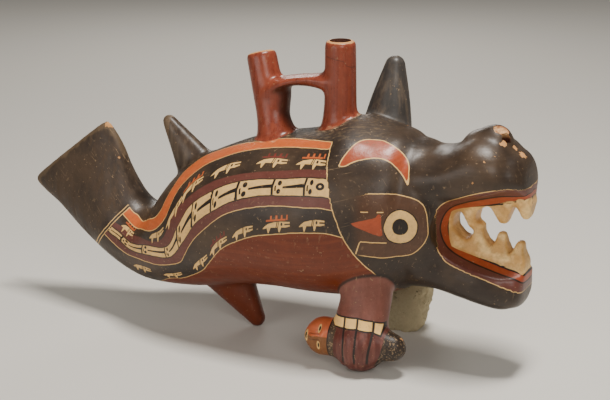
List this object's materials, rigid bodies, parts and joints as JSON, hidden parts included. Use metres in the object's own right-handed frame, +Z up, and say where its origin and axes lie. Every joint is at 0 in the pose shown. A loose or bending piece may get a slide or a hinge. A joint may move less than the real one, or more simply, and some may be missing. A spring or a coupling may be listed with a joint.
{
  "type": "double-spout-and-bridge killer whale effigy vessel",
  "caption": "Hollow earthenware killer whale with bared teeth and a trophy head in its fist, filled through twin bridged spouts, standing on its fist, belly fin and a plaster prop.",
  "frame": {"origin": "middle of the bounding box, on the floor that the fist, belly fin and prop stand on", "axes": "+X towards the snout, +Z up, +Y towards the flank with the prop"},
  "size_m": [0.3986, 0.1179, 0.2201],
  "materials": {
    "slip_painted_clay": "burnished slip, worn satin",
    "plaster": "rough, matte"
  },
  "bodies": {
    "root": {"vessel": "slip_painted_clay", "plaster_prop": "plaster"}
  },
  "joints": []
}
